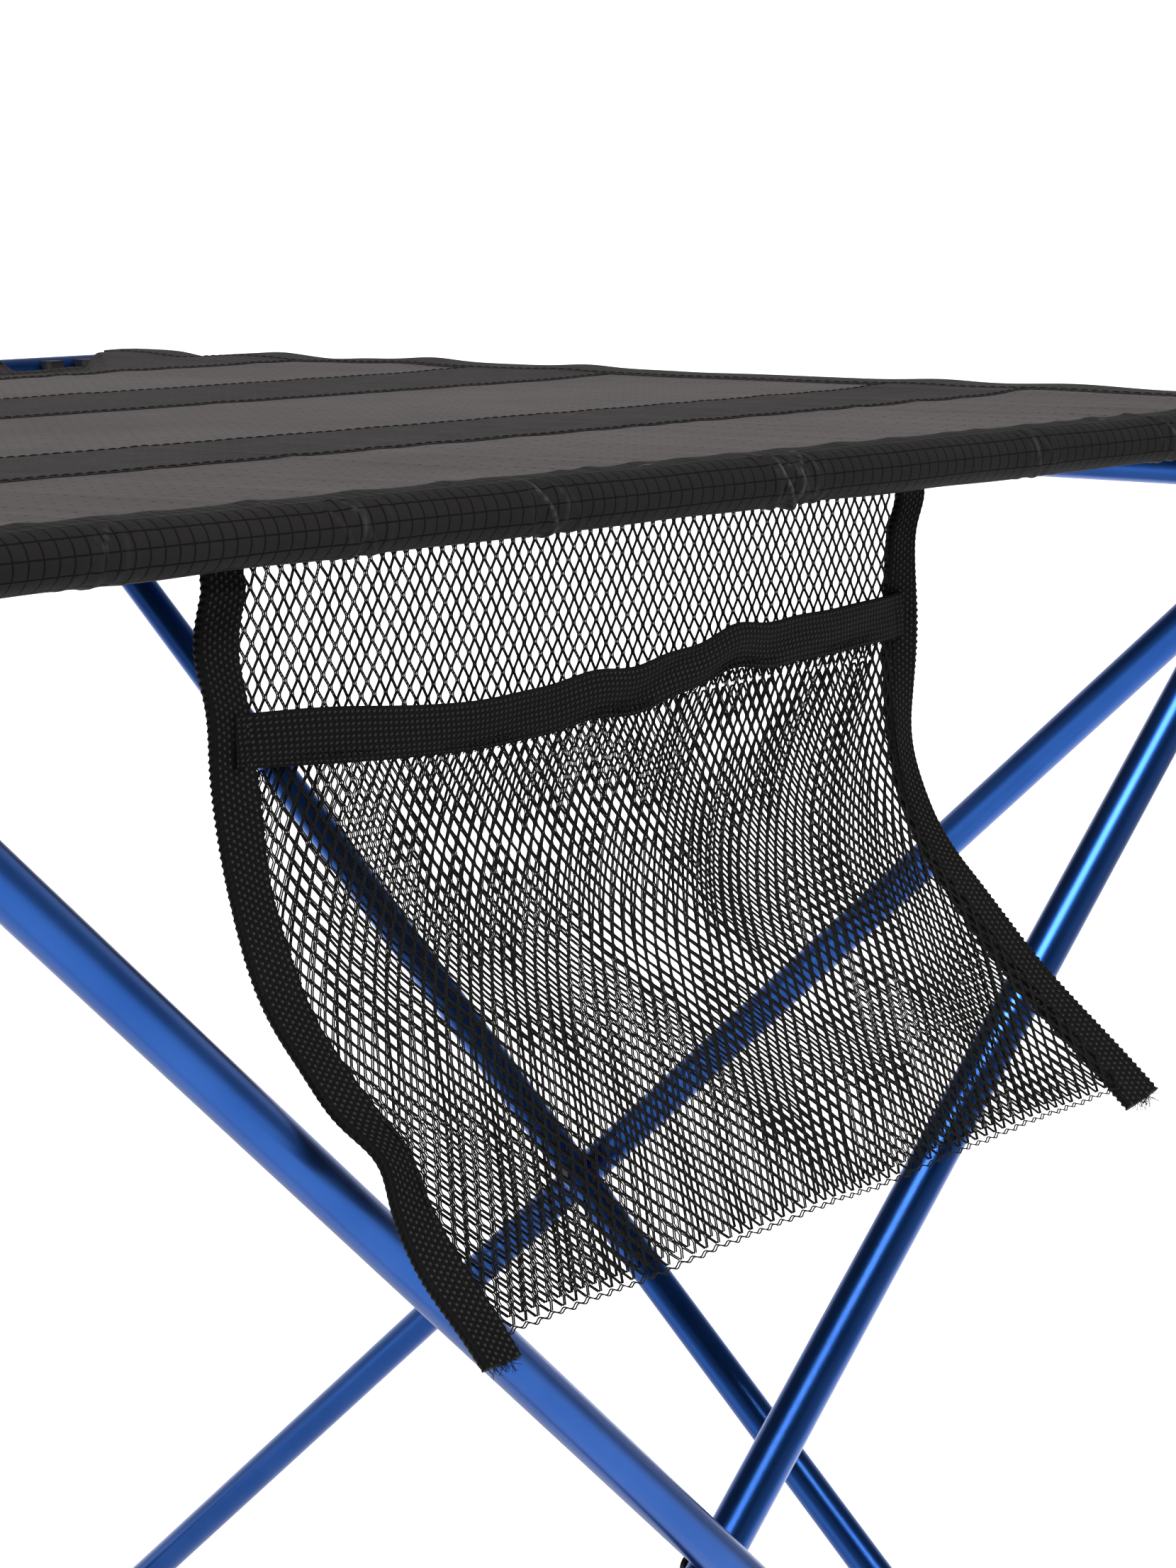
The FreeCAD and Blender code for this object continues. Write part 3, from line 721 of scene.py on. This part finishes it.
def seam_row(y):
    xs = np.arange(4 * MM - HALF_X, HALF_X - 4 * MM, STITCH_PITCH)
    return stitches(xs, np.full(xs.shape, y), (1, 0), SEAM_RISE)


def hem_row(x):
    ys = np.arange(hem_lo[1] + 10 * MM, hem_hi[1] - 10 * MM, STITCH_PITCH)
    return stitches(np.full(ys.shape, x), ys, (0, 1), HEM_RISE)


rows = []
for node, laps_far in (("band_near", True), ("band_far", True), ("band_rear", False)):
    lo, hi = box(node)
    rows.append(seam_row(lo[1] - LAP + STITCH_INSET))
    if laps_far:
        rows.append(seam_row(hi[1] + LAP - STITCH_INSET))
for way in (-1, 1):
    rows.append(hem_row(way * (PANEL_END - 2 * MM)))
v, q, t = join(rows)
make("top_stitching", v, q, t, material=THREAD)


# ---- pocket --------------------------------------------------------------------------------------
NET_LENGTH = 241 * MM                    # from the upper edge down to the fold
NET_ABOVE = 16.4 * MM                    # net tucked up behind the sleeve
OPENING = 49 * MM                        # from the upper edge down to the pocket's mouth
# The net hangs straight, bends outward and runs on at a slope. Each of these changes evenly across the
# pocket: what it is at the left binding, and how much more at the right one.
STRAIGHT, BEND_R, SET_BACK = (50 * MM, 27 * MM), (128 * MM, -50 * MM), (1.0 * MM, 5.5 * MM)
SLOPE = (math.radians(41.5), math.radians(7))
SLEEVE_CLEAR, TUCK_FROM, TUCK_OVER = 1.2 * MM, 4 * MM, 8 * MM


def hang(x, s):
    """Back net: where the point s down from the upper edge is, and the way out to the front."""
    t = np.clip((x - STRAP_X[0]) / (STRAP_X[1] - STRAP_X[0]), 0, 1)
    straight, radius, slope, back = (left + more * t for left, more in (STRAIGHT, BEND_R, SLOPE, SET_BACK))
    y0 = NET_Y + back
    turn = np.clip((s - straight) / radius, 0, slope)
    beyond = np.maximum(0, s - straight - radius * slope)
    y = y0 - radius * (1 - np.cos(turn)) - beyond * np.sin(slope)
    z = NET_TOP - np.minimum(s, straight) - radius * np.sin(turn) - beyond * np.cos(slope)
    behind = NEAR_Y + SLEEVE_R + SLEEVE_CLEAR
    tuck = np.clip((TUCK_FROM - s) / TUCK_OVER, 0, 1)
    y = y + tuck * np.maximum(0, behind - y)
    fold = np.clip(s / NET_LENGTH, 0, 1) * np.sin(np.pi * t) ** 0.7
    wave = fold * (1.5 * np.sin(2 * np.pi * (x / 0.13 + s / 0.34) + 0.4)
                   + 0.8 * np.sin(2 * np.pi * (x / 0.06 - s / 0.21)))
    out = np.stack([np.zeros(turn.shape), -np.cos(turn), np.sin(turn)], axis=-1)
    points = np.stack([x + np.zeros(turn.shape), y, z], axis=-1)
    return points + out * (wave * MM)[..., None], out


def front(x, s):
    """Front net: bulges out from the back one between the bindings, less towards the bottom."""
    points, out = hang(x, s)
    t = np.clip((x - NET_X[0]) / (NET_X[1] - NET_X[0]), 0, 1)
    swell = np.sin(np.pi * t) ** 0.6
    lower = np.clip((s - OPENING) / (NET_LENGTH - OPENING), 0, 1)
    gap = (1.1 + 10.5 * swell * (1 - lower) ** 1.2 + 1.0 * swell * np.sin(6 * lower + 9 * t) * (1 - lower))
    return points + out * (gap * MM)[..., None], out


def opening_line(x):
    """How far down the middle of the opening's hem hangs."""
    t = (x - NET_X[0]) / (NET_X[1] - NET_X[0])
    sag = 8.0 * bump(x, -0.095, 0.075) + 3.0 * bump(x, -0.018, 0.022) - 1.9 * bump(x, 0.028, 0.016)
    return (47 - 4 * t + sag) * MM


def hem_tall(x):
    return (16 + 1.5 * bump(x, -0.165, 0.030)) * MM


def below_hem(x, s):
    """Front net, its upper edge following the opening's hem."""
    start = opening_line(x) + hem_tall(x) / 2 - 3 * MM
    part = (s - NET_START) / (NET_LENGTH - NET_START)
    return front(x, np.where(part < 1, start + part * (NET_LENGTH - start), s))


SPLIT = 57.4 * MM                        # above this the back net also has rungs
NET_START = SPLIT - 2 * MM
WALE, HALF_ROW = 2.75 * MM, 4.1 * MM
REST_AT_KNOT = 0.14
YARN_R, RUNG_R, YARN_APART = 0.27 * MM, 0.16 * MM, 0.36 * MM


def net_lines(surface, s0, s1, shift=(0.0, 0.0), rungs=True, sway=0.0):
    """Knitted net: wales that swing from one neighbour to the next, two threads each, and rungs."""
    x0, x1 = NET_X[0] - 3 * MM, NET_X[1] + 3 * MM
    count = int((x1 - x0) / WALE)
    rows = int((s1 - s0) / HALF_ROW)
    wale = np.arange(count)[:, None]

    def swing(tau):
        tri = 1 - 2 * np.abs((tau % 2) - 1)
        limit = 1 - 2 * REST_AT_KNOT
        return np.clip(tri / limit, -1, 1)

    def at(tau, aside):
        tau = np.broadcast_to(tau[None], (count, len(tau)))
        sign = np.where(wale % 2 == 0, 1, -1)
        lean = swing(tau) * sign
        x = x0 + (wale + 0.5) * WALE + shift[0] + lean * (WALE / 2 - 0.42 * MM) + aside
        s = s0 + tau * HALF_ROW + shift[1]
        x = x + sway * np.sin(s * 38 + x * 17) + 0.25 * MM * np.sin(x * 311 + s * 173)
        s = s + sway * 0.8 * np.sin(x * 29 + 1.0) * np.clip((s1 - s) / (20 * MM), 0, 1)
        return surface(x, np.minimum(s, s1 + 0.4 * MM))

    knots = np.arange(rows + 1)
    taus = np.sort(np.concatenate([knots - REST_AT_KNOT, knots + REST_AT_KNOT]))
    taus = np.clip(taus, 0, rows)[1:-1]
    parts = []
    for aside in (-YARN_APART, YARN_APART):
        points, out = at(taus, aside)
        parts.append(threads(points, out, YARN_R))
    if rungs:
        zig = np.arange(0, rows + 1e-6, 0.25)
        side = YARN_APART * np.where(np.arange(len(zig)) % 2 == 0, 1, -1)
        points, out = at(zig, side[None])
        parts.append(threads(points, out, RUNG_R))
    return join(parts)


def net_piece(name, surface, s0, s1, replaces=(), **how):
    """A net as its own sheet."""
    v, q, t = net_lines(surface, s0, s1, **how)
    obj = make(name, v, q, t, material=NET_YARN, replaces=replaces)


net_piece("pocket_back_net_upper", hang, -NET_ABOVE, SPLIT, replaces=("pocket_back_net",))
net_piece("pocket_back_net_lower", hang, SPLIT, NET_LENGTH, rungs=False)
net_piece("pocket_front_net_cloth", below_hem, NET_START, NET_LENGTH, replaces=("pocket_front_net",),
          shift=(1.3 * MM, 0.9 * MM), rungs=False, sway=1.3 * MM)


def bottom_edge():
    """The fold at the bottom: a doubled edge thread with a small scallop at every knot."""
    xs = np.arange(NET_X[0] - 2 * MM, NET_X[1] + 2 * MM, WALE / 4)
    peaks = 0.55 * MM * np.cos(2 * np.pi * xs / (2 * WALE)) + 0.2 * MM * np.sin(xs * 410)
    parts = []
    for offset, lower in ((0.4 * MM, 0.0), (1.0 * MM, 0.7 * MM)):
        points, out = hang(xs, NET_LENGTH + peaks + lower)
        parts.append(threads((points + out * offset)[None], out[None], 0.24 * MM, sides=4))
    v, q, t = join(parts)
    make("pocket_bottom_edge", v, q, t, material=NET_YARN)


bottom_edge()


# ---- webbing -------------------------------------------------------------------------------------
def flat_section(width, thick, fine, coarse=9, corner=4):
    """Across and deep of a flattened loop: many points on its face, few on its back."""
    radius = thick / 2
    half = width / 2 - radius
    bend = np.pi / 2 + np.pi * np.arange(1, corner + 1) / (corner + 1)
    across = [np.linspace(half, -half, fine), -half + radius * np.cos(bend),
              np.linspace(-half, half, coarse), half - radius * np.cos(bend)]
    deep = [np.full(fine, radius), radius * np.sin(bend), np.full(coarse, -radius), -radius * np.sin(bend)]
    return np.concatenate(across), np.concatenate(deep)


def ribs(a, b, across, along):
    """Height from 0 to 1 of ribbed webbing at a across and b along it."""
    u = np.abs(np.sin(np.pi * a / across))
    w = np.abs(np.sin(np.pi * b / along + np.pi / 2 * (np.floor(a / across) % 2)))
    return u ** 0.6 * w ** 0.7


RIB_ACROSS, RIB_ALONG = 1.7 * MM, 2.3 * MM
STRAP_THICK, STRAP_STEP = 3.0 * MM, 0.34 * MM
STRAP_ABOVE, STRAP_TAIL = 15.5 * MM, 8 * MM


def strap(name, centre, turned, width, replaces=()):
    """Webbing folded over the net's edge, along a line and turned about it."""
    thick = STRAP_THICK
    s0, s1 = -STRAP_ABOVE, NET_LENGTH + STRAP_TAIL
    rows = int((s1 - s0) / STRAP_STEP)
    s = np.linspace(s0, s1, rows)
    across, deep = flat_section(width, thick, 58)
    around = len(across)
    gs, ga = np.meshgrid(s, across, indexing="ij")
    gd = np.repeat(deep[None], rows, axis=0)
    ridge = ribs(ga + width / 2, gs, RIB_ACROSS, RIB_ALONG)
    flatness = np.clip(np.abs(gd) / (thick / 2), 0, 1)
    edge = 1 - flatness
    gd = gd + np.sign(gd) * ridge * 0.30 * MM * flatness
    ga = ga + np.sign(ga) * edge * 0.5 * MM * np.sin(2 * np.pi * gs / RIB_ALONG)
    bow = centre(s)[:, None]
    twist = turned(s)[:, None]
    middle, out = hang(np.repeat(bow, around, axis=1), gs)
    points = middle + out * (gd * np.cos(twist) + ga * np.sin(twist) + 0.6 * MM)[..., None]
    points[..., 0] += ga * np.cos(twist) - gd * np.sin(twist)
    quads = grid_faces(rows, around, wrap=True, flip=True)
    verts, ends = closed_ends(points.reshape(-1, 3), around, flip_first=False)
    cloth = np.concatenate([np.stack([ga, gs, gd], axis=-1).reshape(-1, 3), np.zeros((2, 3))])
    # Rib crowns, for the webbing's painted highlight.
    wear_and_highlight = np.concatenate([(ridge * flatness).ravel(), np.zeros(2)])
    obj = make(name, verts, quads, ends, material=WEBBING, cloth=cloth, wear_and_highlight=wear_and_highlight,
               replaces=replaces)


# Each binding's middle line and twist, against s down from the pocket's upper edge.
LEFT_WIDE, RIGHT_WIDE = 15 * MM, 14 * MM
LEFT_MIDDLE = STRAP_X[0] + 8.6 * MM
RIGHT_MIDDLE = STRAP_X[1] - 6.9 * MM


def left_line(s):
    return LEFT_MIDDLE + MM * (-5.0 * bump(s, 0.020, 0.015) + 1.5 * bump(s, 0.070, 0.020)
                               - 1.8 * bump(s, 0.132, 0.022) + 5.3 * bump(s, 0.181, 0.013)
                               - 1.6 * bump(s, 0.217, 0.015))


def left_turn(s):
    return 0.16 + 0.14 * bump(s, 0.070, 0.030) - 0.30 * bump(s, 0.181, 0.015) + 0.08 * np.sin(s * 120)


def right_line(s):
    return RIGHT_MIDDLE + 6.0 * MM * (bump(s, 0.0, 0.010) - bump(s, 0.187, 0.040))


def right_turn(s):
    return (0.14 + 0.40 * bump(s, 0.048, 0.018) - 0.20 * bump(s, 0.090, 0.016)
            + 0.50 * np.clip((s - 0.12) / 0.05, 0, 1))


strap("pocket_binding_left", left_line, left_turn, LEFT_WIDE, replaces=("pocket_bindings",))
strap("pocket_binding_right", right_line, right_turn, RIGHT_WIDE)

HEM_TALL, TAPE_THICK, TAPE_PAST = 16 * MM, 2.2 * MM, 5 * MM
TAPE_COLUMNS, TAPE_FINE = 960, 70
TAPE_SLANT, TAPE_RIB = 0.55, 2.2 * MM


def opening_tape():
    """A tape folded over the front net's upper edge, ribbed on a slant and a little rumpled."""
    xs = np.linspace(NET_X[0] - TAPE_PAST, NET_X[1] + TAPE_PAST, TAPE_COLUMNS)
    tall, deep = flat_section(HEM_TALL, TAPE_THICK, TAPE_FINE)
    gx, gw = np.meshgrid(xs, tall, indexing="ij")
    gd = np.repeat(deep[None], TAPE_COLUMNS, axis=0)
    flatness = np.clip(np.abs(gd) / (TAPE_THICK / 2), 0, 1)
    slant = gx + gw * TAPE_SLANT
    ridge = ribs(gw + HEM_TALL, slant, RIB_ACROSS, TAPE_RIB)
    pinch = hem_tall(gx) / HEM_TALL - 0.12 * bump(gx, 0.012, 0.02)
    rumple = 0.9 * MM * np.sin(gw * 330 + gx * 95) * (0.35 + 0.9 * bump(gx, 0.0, 0.05))
    inside = np.clip(1 - (np.abs(gw) / (HEM_TALL / 2)) ** 2, 0, 1)
    gd = gd + np.sign(gd) * ridge * 0.24 * MM * flatness
    drop = opening_line(gx) + gw * pinch + 0.7 * MM * np.sin(gx * 160) * bump(gx, 0.0, 0.07)
    middle, out = front(gx, drop)
    points = middle + out * (gd + rumple * inside + 1.0 * MM)[..., None]
    quads = grid_faces(TAPE_COLUMNS, len(tall), wrap=True)
    verts, ends = closed_ends(points.reshape(-1, 3), len(tall), flip_first=True)
    cloth = np.concatenate([np.stack([gw, slant, gd], axis=-1).reshape(-1, 3), np.zeros((2, 3))])
    # Rib crowns, for the tape's painted highlight.
    wear_and_highlight = np.concatenate([(ridge * flatness).ravel(), np.zeros(2)])
    hem = make("pocket_opening_tape", verts, quads, ends, material=WEBBING,
               cloth=cloth, wear_and_highlight=wear_and_highlight, replaces=("pocket_opening_hem",))


opening_tape()

SEWN_R, LOOP_R, FRAY_R = 0.24 * MM, 0.30 * MM, 0.10 * MM


def overlock_loops():
    """Loops over the lower edge of the opening's tape."""
    loops_x = np.arange(NET_X[0] + 2 * MM, NET_X[1] - 2 * MM, 2.7 * MM)
    k = np.linspace(0, 1, 7)
    x = loops_x[:, None] + (0.9 * np.sin(np.pi * k) + 0.5 * k)[None] * MM
    s = opening_line(loops_x)[:, None] + (HEM_TALL / 2 - 3.4 * MM + 4.0 * MM * k)[None]
    middle, out = front(x, s)
    lift = (2.25 - 0.9 * k ** 3)[None, :, None] * MM
    return threads(middle + out * lift, out, LOOP_R, sides=4)


def dashes(surface, x, s, rise):
    """Stitches along a surface, each an arc over its own stretch of x and s."""
    middle, out = surface(x, s)
    k = np.linspace(0, 1, x.shape[1])
    lift = (rise + 0.2 * np.sin(np.pi * k))[None, :, None] * MM
    return threads(middle + out * lift, out, SEWN_R, sides=4)


def pocket_stitching():
    """The tape's loops and dashes, and a row of stitches along each binding."""
    k = np.linspace(0, 1, 4)
    x = np.arange(NET_X[0] + 2 * MM, NET_X[1] - 4 * MM, 3.4 * MM)[:, None] + 2.5 * MM * k[None]
    parts = [overlock_loops(), dashes(front, x, opening_line(x) + HEM_TALL / 2 - 3.6 * MM, 2.15)]
    s = np.arange(2 * MM, NET_LENGTH, 3.6 * MM)[:, None] + 2.7 * MM * k[None]
    for line, side in ((left_line, 1), (right_line, -1)):
        parts.append(dashes(hang, line(s) + side * 4.9 * MM, s, 2.45))
    v, q, t = join(parts)
    make("pocket_stitching", v, q, t, material=THREAD)


pocket_stitching()


def binding_fray(count=46):
    """Frayed yarns at the bindings' raw lower ends."""
    end = NET_LENGTH + STRAP_TAIL - 0.5 * MM
    k = np.linspace(0, 1, 6)[None]
    parts = []
    for line in (left_line, right_line):
        across = RNG.uniform(-5.6, 5.6, count)[:, None] * MM
        reach = RNG.uniform(1.5, 5.5, count)[:, None] * MM
        aside = RNG.normal(0, 1.6, count)[:, None] * MM * k ** 1.5
        middle, out = hang(line(end) + across + aside, end + reach * (k - 0.25))
        start = RNG.uniform(-1.2, 1.6, count)[:, None]
        curl = RNG.normal(0, 1.4, count)[:, None] * k ** 2
        parts.append(threads(middle + out * ((start + curl + 0.5) * MM)[..., None], out, FRAY_R))
    v, q, t = join(parts)
    make("binding_fray", v, q, t, material=NET_YARN)


binding_fray()


# ---- floor and light ---------------------------------------------------------------------------
BACKDROP = (math.cos(YAW), math.sin(YAW), 0)      # direction of the white side of the studio


def glowing_floor():
    """White round the table and behind it, greyer to the sides and in front; the white part glows, painted
    light that fills the table's shadow.
    """
    white_paint, grey_paint = (0.93, 0.93, 0.93), (0.42, 0.42, 0.42)
    p = Paint("floor_pale_glowing", white_paint, 0.9)
    place = p.place()
    away = p.tree.nodes.new("ShaderNodeVectorMath")
    away.operation = "LENGTH"
    p.tree.links.new(place, away.inputs[0])
    ahead = p.tree.nodes.new("ShaderNodeVectorMath")
    ahead.operation = "DOT_PRODUCT"
    ahead.inputs[1].default_value = BACKDROP
    p.tree.links.new(place, ahead.inputs[0])
    distance = away.outputs["Value"]
    bearing = p.math("DIVIDE", ahead.outputs["Value"], p.math("ADD", distance, 0.01))
    white = p.math("MAXIMUM", p.ramp(distance, 1.0, 2.4, 1.0, 0.0), p.ramp(bearing, 0.72, 0.90))
    p.paint(p.blend(white, grey_paint, white_paint))
    # The floor glows where it is white: painted light that lifts the table's shadow on it.
    p.shader.inputs["Emission Color"].default_value = (1, 1, 1, 1)
    p.put(p.shader.inputs["Emission Strength"], p.math("MULTIPLY", white, 0.7))
    return p.material


FLOOR_HALF, FLOOR_BELOW = 30.0, 0.5 * MM
corners = [(x * FLOOR_HALF, y * FLOOR_HALF, 0) for x, y in ((-1, -1), (1, -1), (1, 1), (-1, 1))]
floor_mesh = bpy.data.meshes.new("floor")
floor_mesh.from_pydata(corners, [], [(0, 1, 2, 3)])
floor = bpy.data.objects.new("floor", floor_mesh)
bpy.context.scene.collection.objects.link(floor)
floor.location.z = -FLOOR_BELOW
floor_mesh.materials.append(glowing_floor())

# The studio is white behind the table and darker overhead and in front, so that the tubes show bands.
world = bpy.data.worlds.new("studio")
bpy.context.scene.world = world
world.use_nodes = True
sky = world.node_tree
direction = sky.nodes.new("ShaderNodeTexCoord").outputs["Generated"]


def fade(axis, low, high, at_low, at_high):
    """Strength along a direction, from one value to another."""
    dot = sky.nodes.new("ShaderNodeVectorMath")
    dot.operation = "DOT_PRODUCT"
    dot.inputs[1].default_value = axis
    sky.links.new(direction, dot.inputs[0])
    fall = sky.nodes.new("ShaderNodeMapRange")
    fall.interpolation_type = "SMOOTHSTEP"
    for key, value in (("From Min", low), ("From Max", high), ("To Min", at_low), ("To Max", at_high)):
        fall.inputs[key].default_value = value
    sky.links.new(dot.outputs["Value"], fall.inputs["Value"])
    return fall.outputs[0]


behind = fade(BACKDROP, 0.2, 0.75, 0.42, 1.0)
overhead = fade((0, 0, 1), 0.15, 0.5, 1.0, 0.3)
strength = sky.nodes.new("ShaderNodeMath")
strength.operation = "MULTIPLY"
sky.links.new(behind, strength.inputs[0])
sky.links.new(overhead, strength.inputs[1])
sky.links.new(strength.outputs[0], sky.nodes["Background"].inputs["Strength"])
sky.nodes["Background"].inputs["Color"].default_value = (1, 1, 1, 1)

# A broad soft light from above, shining down and a little back.
sun_data = bpy.data.lights.new("softbox", "SUN")
sun_data.energy = 2.6
sun_data.angle = math.radians(26)
shines = Vector((0.22, 0.30, -0.93))
sun = bpy.data.objects.new("softbox", sun_data)
sun.rotation_euler = shines.to_track_quat("-Z", "Y").to_euler()
bpy.context.scene.collection.objects.link(sun)

bpy.context.scene.view_settings.view_transform = "Standard"
